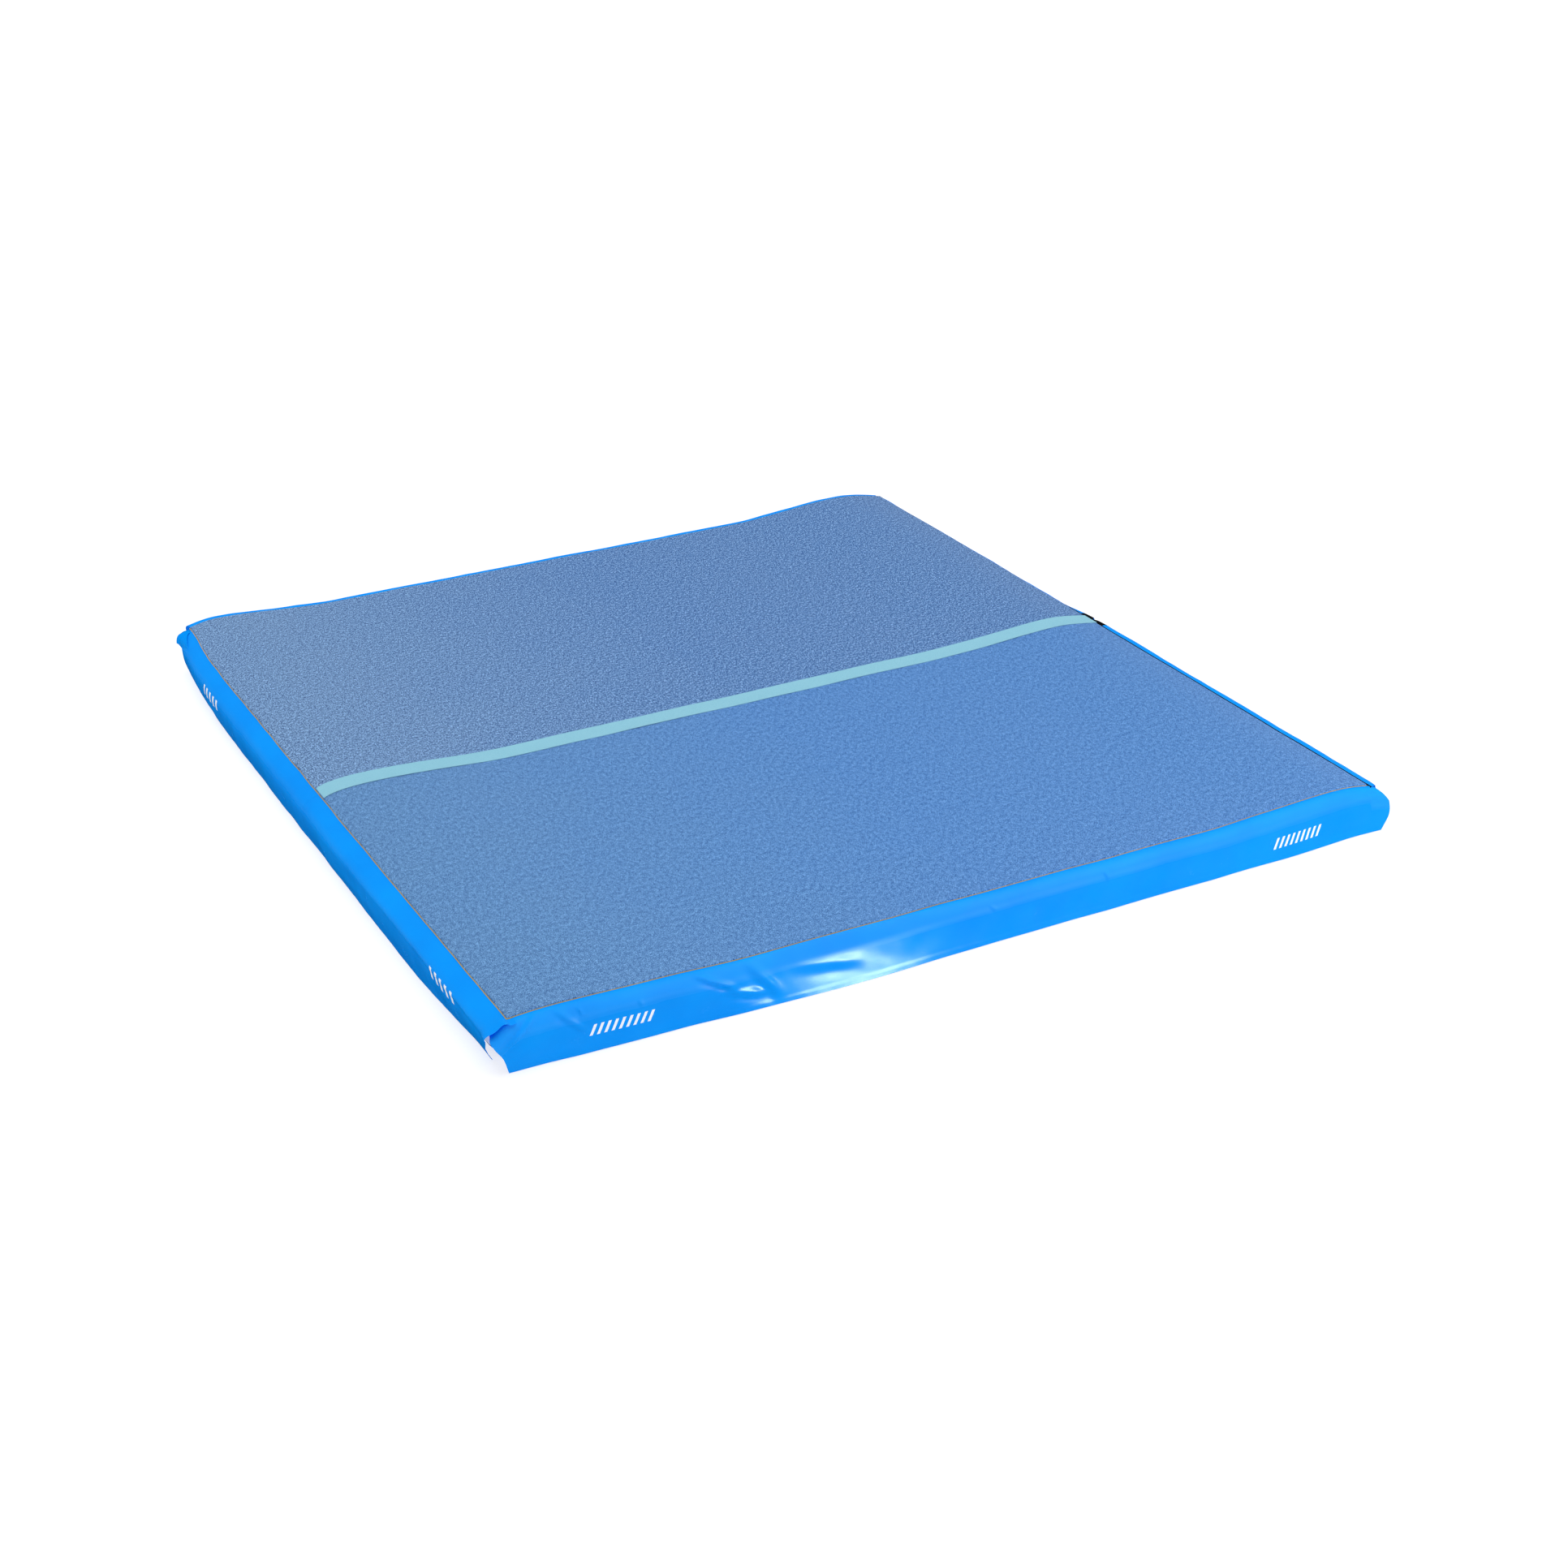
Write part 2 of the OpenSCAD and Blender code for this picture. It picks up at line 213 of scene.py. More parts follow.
def join(name, objs):
    """Several meshes as one piece."""
    bpy.ops.object.select_all(action="DESELECT")
    for o in objs:
        o.select_set(True)
    bpy.context.view_layer.objects.active = objs[0]
    bpy.ops.object.join()
    objs[0].name = objs[0].data.name = name
    return objs[0]


def steps(length, pitch, fine=(0.0008, 0.0022, 0.0045)):
    """Places from 0 to length, closer together at both ends."""
    middle = np.linspace(0.012, length - 0.012, max(2, int(length / pitch)))
    return np.concatenate([[0], fine, middle, length - np.array(fine[::-1]), [length]])


# ---------------------------------------------------------------- materials


class Nodes:
    """A short way to write a node tree."""

    def __init__(self, name):
        self.mat = bpy.data.materials.new(name)
        self.mat.use_nodes = True
        self.tree = self.mat.node_tree
        self.shader = next(n for n in self.tree.nodes if n.type == "BSDF_PRINCIPLED")

    def add(self, kind, **values):
        node = self.tree.nodes.new(kind)
        for key, value in values.items():
            setattr(node, key, value)
        return node

    def put(self, socket, value):
        if isinstance(value, bpy.types.NodeSocket):
            self.tree.links.new(value, socket)
        else:
            socket.default_value = value

    def coords(self, uv=True):
        return self.add("ShaderNodeTexCoord").outputs["UV" if uv else "Object"]

    def noise(self, where, scale, detail=2.0, rough=0.5, stretch=None):
        if stretch:
            mapping = self.add("ShaderNodeMapping")
            self.put(mapping.inputs["Vector"], where)
            mapping.inputs["Scale"].default_value = stretch
            where = mapping.outputs["Vector"]
        node = self.add("ShaderNodeTexNoise")
        self.put(node.inputs["Vector"], where)
        for key, value in (("Scale", scale), ("Detail", detail), ("Roughness", rough)):
            node.inputs[key].default_value = value
        return node.outputs["Fac"]

    def wave(self, where, scale, direction, distortion=0.0):
        node = self.add("ShaderNodeTexWave", bands_direction=direction)
        self.put(node.inputs["Vector"], where)
        node.inputs["Scale"].default_value = scale
        node.inputs["Distortion"].default_value = distortion
        return node.outputs["Fac"]

    def math(self, op, a, b=0.0, c=None, clamp=False):
        node = self.add("ShaderNodeMath", operation=op, use_clamp=clamp)
        self.put(node.inputs[0], a)
        self.put(node.inputs[1], b)
        if c is not None:
            self.put(node.inputs[2], c)
        return node.outputs[0]

    def span(self, value, lo, hi, out_lo, out_hi):
        node = self.add("ShaderNodeMapRange")
        keys = ("Value", "From Min", "From Max", "To Min", "To Max")
        for key, v in zip(keys, (value, lo, hi, out_lo, out_hi)):
            self.put(node.inputs[key], v)
        return node.outputs["Result"]

    def mix(self, factor, a, b):
        node = self.add("ShaderNodeMix", data_type="RGBA")
        self.put(node.inputs["Factor"], factor)
        for socket, value in ((node.inputs[6], a), (node.inputs[7], b)):
            self.put(socket, value)
        return node.outputs[2]

    def split(self, vector):
        node = self.add("ShaderNodeSeparateXYZ")
        self.put(node.inputs[0], vector)
        return node.outputs

    def bump(self, height, distance, strength=1.0, before=None):
        node = self.add("ShaderNodeBump")
        self.put(node.inputs["Height"], height)
        node.inputs["Distance"].default_value = distance
        node.inputs["Strength"].default_value = strength
        if before is not None:
            self.put(node.inputs["Normal"], before)
        return node.outputs["Normal"]

    def finish(self, color, rough, normal=None, **fixed):
        self.put(self.shader.inputs["Base Color"], color)
        self.put(self.shader.inputs["Roughness"], rough)
        if normal is not None:
            self.put(self.shader.inputs["Normal"], normal)
        for key, value in fixed.items():
            self.shader.inputs[key.replace("_", " ")].default_value = value
        return self.mat


def rgb(r, g, b):
    """A display colour, 0 to 255, as the shader's linear one."""
    shares = (c / 255 for c in (r, g, b))
    return tuple(c / 12.92 if c <= 0.04045 else ((c + 0.055) / 1.055) ** 2.4 for c in shares) + (1.0,)


# v, measured over the skirt from the carpet's edge, between which its duller top fold turns glossy
FOLD_V = (0.066, 0.105)
# painted shade: the slot where the two right flaps meet is painted black for the shadow there; its half
# width, and how far down it shows
SLOT_U, SLOT_V = 0.085, 0.05


def coated_fabric(name, color, dark, rough=(0.20, 0.28), prints=(), shade_band=None, painted_glow=0.0):
    """Smooth coated fabric: faint scrim threads under the coating, fine grain, scuffs and cloudy gloss.
    prints are (u middle, v middle, length, height, number, share of the pitch) of plain slanted bars;
    binding is the v below which it is black, painted shade for the dark gap beside the carpet's edge;
    glow is an emission, painted light that lifts a fabric lying in deep shade."""
    n = Nodes(name)
    uv = n.coords()
    cloud = n.noise(uv, 2.6, 4.0, 0.55)
    color = n.mix(n.span(cloud, 0.35, 0.7, 0.0, 1.0), rgb(*dark), rgb(*color))
    scuff = n.span(n.noise(uv, 34.0, 5.0, 0.65, (1.0, 2.4, 1.0)), 0.60, 0.78, 0.0, 0.16)
    color = n.mix(scuff, color, rgb(0, 170, 255))
    u, v = n.split(uv)[0], n.split(uv)[1]
    gloss = n.span(n.noise(uv, 9.0, 5.0, 0.6), 0.3, 0.7, *rough)
    gloss = n.math("ADD", gloss, n.span(v, *FOLD_V, 0.55, 0.0))
    ink = None
    for um, vm, length, height, bars_in, duty in prints:
        du, dv = n.math("SUBTRACT", u, um), n.math("SUBTRACT", v, vm)
        lean = n.math("MULTIPLY_ADD", dv, 0.35, du)
        stripe = n.math("FRACT", n.math("MULTIPLY", n.math("ADD", lean, 10.0), bars_in / length))
        bars = n.math("LESS_THAN", stripe, duty)
        inside = n.math("MULTIPLY", n.math("LESS_THAN", n.math("ABSOLUTE", lean), length / 2),
                        n.math("LESS_THAN", n.math("ABSOLUTE", dv), height / 2))
        mark = n.math("MULTIPLY", bars, inside)
        ink = mark if ink is None else n.math("MAXIMUM", ink, mark)
    if ink is not None:
        wear_and_sheen = n.span(n.noise(uv, 420.0, 2.0), 0.3, 0.62, 0.86, 1.0)
        color = n.mix(n.math("MULTIPLY", ink, wear_and_sheen), color, rgb(246, 250, 252))
        gloss = n.math("MULTIPLY_ADD", ink, 0.12, gloss)
    # painted shade: black along the top edge and in the slot where the right flaps meet, for the shadowed
    # gaps there
    if shade_band is not None:
        gap = n.math("LESS_THAN", n.math("ABSOLUTE", u), SLOT_U)
        gap = n.math("MULTIPLY", gap, n.math("LESS_THAN", v, SLOT_V))
        edge_band = n.math("MAXIMUM", n.math("LESS_THAN", v, shade_band), gap)
        color = n.mix(edge_band, color, rgb(6, 8, 14))
    threads = n.math("MULTIPLY", n.wave(uv, 110.0, "X", 0.6), n.wave(uv, 110.0, "Y", 0.6))
    normal = n.bump(threads, 0.00005, 0.5)
    normal = n.bump(n.noise(uv, 900.0, 2.0), 0.00006, 0.5, normal)
    normal = n.bump(n.noise(uv, 11.0, 3.0, 0.5), 0.0006, 0.25, normal)
    # glow sets an emission: painted light
    return n.finish(color, gloss, normal, Specular_IOR_Level=0.11, Specular_Tint=(0.75, 0.92, 1.0, 1.0),
                    Emission_Color=(1.0, 1.0, 1.0, 1.0), Emission_Strength=painted_glow)


def pile(name, low, mid, high, wear_and_sheen, nap, scale, clump):
    """Short needled pile: a speckle of three blues, soft clouds, a sheen, and a paler blue towards the left
    end that is a painted sheen.
    scale and clump are the fine and the coarse speckle's waves to the metre; nap squeezes the coarse one."""
    n = Nodes(name)
    uv = n.coords()
    grain = n.noise(uv, scale, 2.0, 0.7, (1.0, 0.55, 1.0))
    tuft = n.noise(uv, 620.0, 2.0, 0.6)
    cloud = n.noise(uv, 2.3, 5.0, 0.6)
    streak = n.noise(uv, clump, 3.0, 0.65, (1.0, nap, 1.0))
    # painted sheen: paler towards the left end, where the pile catches more light
    painted_sheen = n.span(n.math("MULTIPLY_ADD", cloud, 0.9, n.split(uv)[0]), -1.55, 0.55, 1.0, 0.0)
    middle = n.mix(painted_sheen, rgb(*mid), rgb(*wear_and_sheen))
    speckle = n.math("ADD", n.span(grain, 0.40, 0.60, -0.62, 0.62), n.span(streak, 0.38, 0.62, -0.24, 0.24))
    base = n.mix(n.math("MULTIPLY", n.math("MAXIMUM", speckle, 0.0), 0.95, clamp=True), middle, rgb(*high))
    base = n.mix(n.math("MULTIPLY", speckle, -0.95, clamp=True), base, rgb(*low))
    rough = n.span(tuft, 0.3, 0.7, 0.84, 0.98)
    normal = n.bump(tuft, 0.0010, 0.55)
    normal = n.bump(grain, 0.0019, 0.45, normal)
    return n.finish(base, rough, normal, Specular_IOR_Level=0.12, Sheen_Weight=0.16, Sheen_Roughness=0.45)


def woven(name, color, dark, scale, rough=0.78, depth=0.0004):
    """A plain weave, its threads this many to the metre."""
    n = Nodes(name)
    uv = n.coords()
    warp, weft = n.wave(uv, scale, "X", 0.4), n.wave(uv, scale, "Y", 0.4)
    weave = n.math("MULTIPLY", warp, weft)
    color = n.mix(n.span(weave, 0.0, 1.0, 0.15, 1.0), rgb(*dark), rgb(*color))
    color = n.mix(n.span(n.noise(uv, 12.0, 4.0), 0.4, 0.75, 0.0, 0.25), color, rgb(*dark))
    normal = n.bump(weave, depth, 0.7)
    normal = n.bump(n.noise(uv, 600.0, 2.0), 0.0002, 0.4, normal)
    return n.finish(color, n.span(n.noise(uv, 30.0, 3.0), 0.3, 0.7, rough - 0.07, rough + 0.07), normal,
                    Specular_IOR_Level=0.2, Sheen_Weight=0.12)


def moulded(name, color, rough=0.38, grain=1400.0, metal=0.0, wear_and_sheen=(190, 200, 210)):
    """Moulded plastic, rubber or drawn steel: fine grain, rubbed spots and handling marks."""
    n = Nodes(name)
    at = n.coords(uv=False)
    marks = n.noise(at, 70.0, 5.0, 0.65)
    tone = n.mix(n.span(marks, 0.58, 0.78, 0.0, 0.16), rgb(*color), rgb(*wear_and_sheen))
    gloss = n.span(n.noise(at, 120.0, 4.0), 0.3, 0.7, rough - 0.06, rough + 0.08)
    normal = n.bump(n.noise(at, grain, 2.0), 0.00006, 0.6)
    return n.finish(tone, gloss, normal, Metallic=metal, Specular_IOR_Level=0.45)


# ---------------------------------------------------------------- the skirt


def flap_rows(count_top=7, count_roll=18, count_fall=26):
    """Row places: 0 to 1 is the flat margin, 1 to 2 the shoulder, 2 to 3 the fall to the hem."""
    top = np.linspace(0, 1, count_top, endpoint=False)
    roll = np.linspace(1, 2, count_roll, endpoint=False)
    return np.concatenate([top, roll, np.linspace(2, 3, count_fall)])


# how far a flap runs in under the carpet, and how high its hem hangs
TUCK, HEM_Z = 0.020, 0.0035


def section(r, margin, reach, shoulder_z, hem, box, tuck, power, fall, top_z):
    """Distance out from the carpet's edge and height, for rows r, all of them arrays.
    box is 0 for a round shoulder and 1 for a sloping top that turns down at a soft crease; power above 1
    flattens the round shoulder, and fall above 1 leaves the flare for the hem."""
    t = np.clip(r - 1, 0, 1)
    a = t * math.pi / 2
    b = np.clip(r - 2, 0, 1)
    crease_d, crease_z = reach + 0.010, shoulder_z + 0.62 * (top_z - shoulder_z)
    boxy_d = (1 - t) ** 2 * margin + 2 * t * (1 - t) * crease_d + t * t * reach
    boxy_z = (1 - t) ** 2 * top_z + 2 * t * (1 - t) * crease_z + t * t * shoulder_z
    round_d = margin + (reach - margin) * np.sin(a) ** power
    round_z = shoulder_z + (top_z - shoulder_z) * np.abs(np.cos(a)) ** power
    d = np.where(r < 1, -tuck + (margin + tuck) * r, (1 - box) * round_d + box * boxy_d)
    z = np.where(r < 1, top_z, (1 - box) * round_z + box * boxy_z)
    d = np.where(r > 2, reach + (hem - reach) * b**fall, d)
    z = np.where(r > 2, shoulder_z + (HEM_Z - shoulder_z) * b, z)
    return d, z


def flap(name, side, starts, ends, shape, wrinkle, material, body, start_blend, end_blend, node,
         pitch=0.0075, droop=lambda q: 0 * q, rise=0.0035):
    """One hanging flap, cut and laid as a single sheet: from under the carpet's edge, over the shoulder,
    down to the hem. starts and ends give where its two cut ends run, row by row; shape gives its section
    along the side, droop lowers it there, and rise lifts it just outside the carpet."""
    r = flap_rows()
    q0, q1 = curve(r, *starts), curve(r, *ends)
    count = int(abs(q1 - q0).mean() / pitch)
    s = np.linspace(0, 1, count)[:, None]
    q = q0[None, :] * (1 - s) + q1[None, :] * s
    rows = np.broadcast_to(r[None, :], q.shape)
    margin, reach, shoulder_z, hem, box, tuck, power, fall = shape(q)
    half = CARPET_X if side in "FB" else CARPET_Y
    edge_q = np.clip(q, -half, half)
    base = {"L": edge_left, "R": edge_right, "F": edge_front, "B": edge_back}[side](edge_q)
    sign = -1 if side in "LF" else 1
    d, _ = section(rows, margin, reach, shoulder_z, hem, box, tuck, power, fall, 0.2)
    inward = base + sign * np.minimum(d, 0)
    top = deck(inward, edge_q) if side in "LR" else deck(edge_q, inward)
    top = top - PILE - BACKING - droop(q) + rise * smooth(0.001, 0.009, d)
    d, z = section(rows, margin, reach, shoulder_z, hem, box, tuck, power, fall, top)
    out = base + sign * d
    points = np.stack([out, q, z] if side in "LR" else [q, out, z], -1)
    steps_down = np.hypot(np.diff(out, axis=1), np.diff(z, axis=1))
    run = np.concatenate([np.zeros((count, 1)), np.cumsum(steps_down, axis=1)], 1)
    v = run - tuck
    facing = np.array({"L": (-1, 0, 1), "R": (1, 0, 1), "F": (0, -1, 1), "B": (0, 1, 1)}[side], float)
    way = normals(points, False)
    if (way * facing).sum() < 0:
        way = -way
    free = smooth(0.0, 0.03, v)
    welt = 0.0007 * smooth(0.022, 0.018, run[:, -1:] - run)
    points = points + way * ((wrinkle(q, z, rows) * free + welt)[..., None])
    points[..., 2] = np.maximum(points[..., 2], SHEET + 0.0006)
    piece = cloth(name, points, SHEET, np.stack([q, v], -1), material, facing)
    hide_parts(node)
    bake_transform(piece)
    return piece


def v_at(shape, side, q, z):
    """Arc length from the carpet's edge at which a flap's outer face is at height z."""
    r = flap_rows(30, 120, 200)
    margin, reach, shoulder_z, hem, box, tuck, power, fall = (
        np.full_like(r, float(np.ravel(k)[0])) for k in shape(np.array([q])))
    edge = {"L": (-CARPET_X, q), "R": (CARPET_X, q), "F": (q, -CARPET_Y), "B": (q, CARPET_Y)}[side]
    top = float(deck(*edge)) - PILE - BACKING
    d, zz = section(r, margin, reach, shoulder_z, hem, box, tuck, power, fall, top)
    run = np.concatenate([[0], np.cumsum(np.hypot(np.diff(d), np.diff(zz)))]) - tuck
    return float(np.interp(-z, -zz, run))


def shape_left(y):
    y = np.asarray(y, float)
    hem = 0.050 - 0.022 * smooth(1.0, 1.95, y) - 0.028 * smooth(-1.1, -1.85, y)
    front, back = smooth(0.2, -1.3, y), smooth(1.2, 1.95, y)
    return (0.014 + 0 * y, 0.084 - 0.010 * back, 0.132 + 0.036 * front, hem, 0.45 + 0.5 * front, TUCK + 0 * y,
            1 + 0 * y, 1.6 + 0 * y)


def shape_front(x):
    x = np.asarray(x, float)
    hem = 0.048 - 0.050 * np.clip((-0.45 - x) / 1.45, 0, 1) ** 1.2 - 0.010 * smooth(1.4, 1.95, x)
    flare = np.exp(-(((x + 0.60) / 0.45) ** 2))
    reach = 0.042 - 0.006 * smooth(-0.9, -1.9, x) - 0.029 * flare
    tuck = TUCK + 0.036 * smooth(1.885, 1.900, x)
    shoulder_z = 0.165 - 0.030 * flare - 0.030 * smooth(1.86, 1.98, x) - 0.020 * smooth(-1.90, -1.97, x)
    return (0.016 - 0.008 * flare, reach, shoulder_z, hem + 0.012 * flare, 0.15 + 0 * x, tuck,
            1 + 0 * x, 1.6 - 0.5 * flare)


def shape_back(x):
    x = np.asarray(x, float)
    left = smooth(-1.35, -1.85, x)
    return (0.030 + 0.006 * left, 0.060 + 0.006 * left, 0.160 + 0 * x, 0.040 - 0.010 * left, 0.2 + 0 * x,
            TUCK + 0 * x, 1 + 0 * x, 1.6 + 0 * x)


def shape_right(y):
    y = np.asarray(y, float)
    recede = 0.15 - np.sqrt(0.15**2 - np.clip(np.abs(y) - 1.90, 0, 0.135) ** 2)
    back = smooth(0.03, 0.28, y)
    return (0.018 - 0.030 * back, 0.096 - recede, 0.112 + 0 * y, 0.092 - recede, 0 * y, TUCK + 0 * y,
            1.15 + 0.2 * back, 1.6 + 0 * y)


def droop_front(x):
    """The front flap sags under the left flap's end, and rounds off at the right corner."""
    left = 0.007 * smooth(-1.862, -1.892, x) + 0.042 * smooth(-1.892, -1.972, x)
    return left + 0.025 * smooth(1.888, 1.988, x)


def wrinkle_front(x, z, r):
    w = 0.0008 * ripple(x, 2.2 * z, 21, 0.35) + 0.0003 * ripple(x, z, 22, 0.09)
    w = w + fold(x, z, (-1.175, 0.200), (-1.030, 0.118), 0.011, 0.0105, 0.6)
    w = w + fold(x, z, (-0.968, 0.190), (-0.850, 0.045), 0.019, 0.0090, 0.6)
    w = w + fold(x, z, (-1.060, 0.105), (-0.900, 0.060), 0.014, 0.0075, 0.5)
    w = w + fold(x, z, (-0.760, 0.120), (-0.520, 0.085), 0.020, 0.0045, 0.4)
    w = w + fold(x, z, (-1.716, 0.218), (-1.611, 0.108), 0.011, 0.0064, 0.5)
    w = w + fold(x, z, (-1.640, 0.212), (-1.625, 0.180), 0.006, 0.0042, 0.3)
    w = w + fold(x, z, (-1.801, 0.222), (-1.925, 0.115), 0.010, 0.0075, 0.6)
    w = w + fold(x, z, (-1.410, 0.180), (-1.395, 0.150), 0.007, 0.0038, 0.3)
    w = w + fold(x, z, (0.045, 0.165), (0.075, 0.135), 0.007, 0.0032, 0.3)
    w = w + fold(x, z, (0.565, 0.175), (0.590, 0.135), 0.008, 0.0048, 0.4)
    return w + 0.0030 * smooth(1.25, 1.9, x) * np.sin(TAU * (x - 1.3) / 0.62)


def wrinkle_left(y, z, r):
    w = 0.0010 * ripple(y, 2.0 * z, 31, 0.5) + 0.0003 * ripple(y, z, 32, 0.10)
    w = w + fold(y, z, (-1.95, 0.176), (-1.07, 0.192), 0.010, 0.0016, 0.4)
    w = w + fold(y, z, (1.20, 0.060), (1.62, 0.110), 0.020, 0.0020, 0.4)
    w = w + fold(y, z, (-0.30, 0.050), (-0.75, 0.100), 0.024, 0.0022, 0.4)
    # the front end lies over the front flap, lifted and wavy
    lift = smooth(-1.905, -1.975, y) * smooth(0.02, 0.12, z)
    return w + lift * (0.0085 + 0.0045 * np.sin(TAU * (r - 0.8) / 0.75))


def wrinkle_back(x, z, r):
    return 0.0010 * ripple(x, 2.0 * z, 41, 0.4) + 0.0003 * ripple(x, z, 42, 0.1)


def wrinkle_right(y, z, r):
    return 0.0010 * ripple(y, 2.0 * z, 51, 0.45) + 0.0003 * ripple(y, z, 52, 0.1)


AZURE, AZURE_DARK = (0, 153, 253), (0, 143, 246)


def bars(shape, side, q, z, length, height, number, duty):
    """A print of plain slanted bars, its middle q along a side and z up it."""
    return (q, v_at(shape, side, q, z), length, height, number, duty)


cover = coated_fabric("cover_pvc", AZURE, AZURE_DARK)
cover_front = coated_fabric("cover_pvc_front", AZURE, AZURE_DARK, prints=[
    bars(shape_front, "F", -1.48, 0.098, 0.250, 0.048, 9.0, 0.42),
    bars(shape_front, "F", 1.51, 0.084, 0.240, 0.048, 9.0, 0.42)])
cover_left_front = coated_fabric("cover_pvc_left_front", AZURE, AZURE_DARK, prints=[
    bars(shape_left, "L", -1.543, 0.163, 0.24, 0.042, 5.0, 0.40)])
cover_left_back = coated_fabric("cover_pvc_left_back", AZURE, AZURE_DARK, prints=[
    bars(shape_left, "L", 1.293, 0.140, 0.24, 0.042, 5.0, 0.40)])
# its black top edge is painted shade for the gap beside the carpet's edge
cover_right = coated_fabric("cover_pvc_right", AZURE, AZURE_DARK, shade_band=0.011)

# the rows at which each flap's two cut ends are given
R_KNOTS = [0, 1, 1.5, 2, 2.5, 3]
flaps = {
    "front_flap": dict(side="F", starts=(R_KNOTS, [-1.950, -1.962, -1.968, -1.958, -1.920, -1.893]),
                       ends=(R_KNOTS, [1.885, 1.905, 1.950, 1.985, 1.996, 1.964]),
                       shape=shape_front, wrinkle=wrinkle_front, material=cover_front, pitch=0.006,
                       start_blend=(0, -1.957, 0.212), end_blend=(0, -1.984, 0.196), droop=droop_front),
    "back_flap": dict(side="B", starts=(R_KNOTS, [-1.862, -1.867, -1.873, -1.866, -1.842, -1.838]),
                      ends=(R_KNOTS, [1.872, 1.880, 1.900, 1.925, 1.935, 1.925]),
                      shape=shape_back, wrinkle=wrinkle_back, material=cover,
                      start_blend=(0, 1.957, 0.212), end_blend=(0, 1.984, 0.196)),
    "left_front_flap": dict(side="L", starts=(R_KNOTS, [-1.992, -1.996, -1.992, -1.968, -1.912, -1.846]),
                            ends=([0, 3], [-0.0003, -0.0003]),
                            shape=shape_left, wrinkle=wrinkle_left, material=cover_left_front,
                            start_blend=(-1.896, 0, 0.212), end_blend=(-1.945, 0, 0.192)),
    "left_back_flap": dict(side="L", starts=([0, 3], [0.0003, 0.0003]),
                           ends=([0, 1, 1.25, 1.5, 2, 2.5, 3],
                                 [1.930, 1.930, 1.925, 1.895, 1.825, 1.850, 1.962]),
                           shape=shape_left, wrinkle=wrinkle_left, material=cover_left_back,
                           start_blend=(-1.896, 0, 0.212), end_blend=(-1.945, 0, 0.192)),
    "right_front_flap": dict(side="R", rise=0.0068,
                             starts=([0, 1, 1.2, 1.5, 2, 3],
                                     [-1.970, -1.972, -1.966, -1.935, -1.925, -1.920]),
                             ends=(R_KNOTS, [-0.002, -0.004, -0.058, -0.070, -0.070, -0.070]),
                             shape=shape_right, wrinkle=wrinkle_right, material=cover_right,
                             start_blend=(1.896, 0, 0.212), end_blend=(1.950, 0, 0.190)),
    "right_back_flap": dict(side="R", rise=0.0068,
                            starts=(R_KNOTS, [0.002, 0.004, 0.058, 0.070, 0.070, 0.070]),
                            ends=(R_KNOTS, [1.950, 1.950, 1.948, 1.945, 1.940, 1.935]),
                            shape=shape_right, wrinkle=wrinkle_right, material=cover_right,
                            start_blend=(1.896, 0, 0.212), end_blend=(1.950, 0, 0.190)),
}

# ---------------------------------------------------------------- carpets, strip and the sheets under them

# each half's paler blue towards its left end is a painted sheen
front_pile = pile("front_pile", (10, 56, 126), (68, 126, 195), (140, 194, 248), wear_and_sheen=(88, 134, 182),
                  nap=0.6, scale=330.0, clump=76.0)
# the back half's greyer blues and paler flecks are painted sheen, for its nap lying the other way to the
# front half's
back_pile = pile("back_pile", (0, 40, 106), (70, 118, 178), (164, 206, 252), wear_and_sheen=(104, 140, 182),
                 nap=1.0, scale=188.0, clump=60.0)
backing_mat = woven("backing", (232, 196, 92), (186, 152, 66), 420.0, 0.85)
strip_mat = woven("strip_fabric", (158, 216, 234), (129, 191, 213), 300.0, 0.74, 0.0003)


def deck_sheet(name, half, over, top, thick, round_edge, material, pitch, gap=0.001):
    """A closed sheet of carpet, backing or cover for one half, lying on the deck. over is how far it runs
    past the carpet's edge, top how far below the pile's top it lies, and round_edge its edge's radius."""
    sx, sy = steps(2 * CARPET_X, pitch), steps(CARPET_Y - gap, pitch)
    a, b = sx / sx[-1], sy / sy[-1]
    y_line = b * (CARPET_Y - gap)
    y = (-(CARPET_Y) + y_line if half == "front" else gap + y_line)[None, :] + 0 * a[:, None]
    xl, xr = edge_left(y) - over, edge_right(y) + over
    x = xl + (xr - xl) * a[:, None]
    if half == "front":
        yo, yi = edge_front(x) - over, -gap
        y = yo + (yi - yo) * b[None, :]
        outer = (y - yo)
    else:
        yo, yi = edge_back(x) + over, gap
        y = yi + (yo - yi) * b[None, :]
        outer = (yo - y)
    near = np.minimum(np.minimum(x - xl, xr - x), outer)
    drop = round_edge - np.sqrt(round_edge**2 - np.clip(round_edge - near, 0, round_edge) ** 2)
    z = deck(x, y)
    points = np.stack([x, y, z - top - drop], -1)
    lower = np.stack([x, y, z - top - thick], -1)
    return cloth(name, points, thick, np.stack([x, y], -1), material, np.array((0, 0, 1.0)), lower=lower)


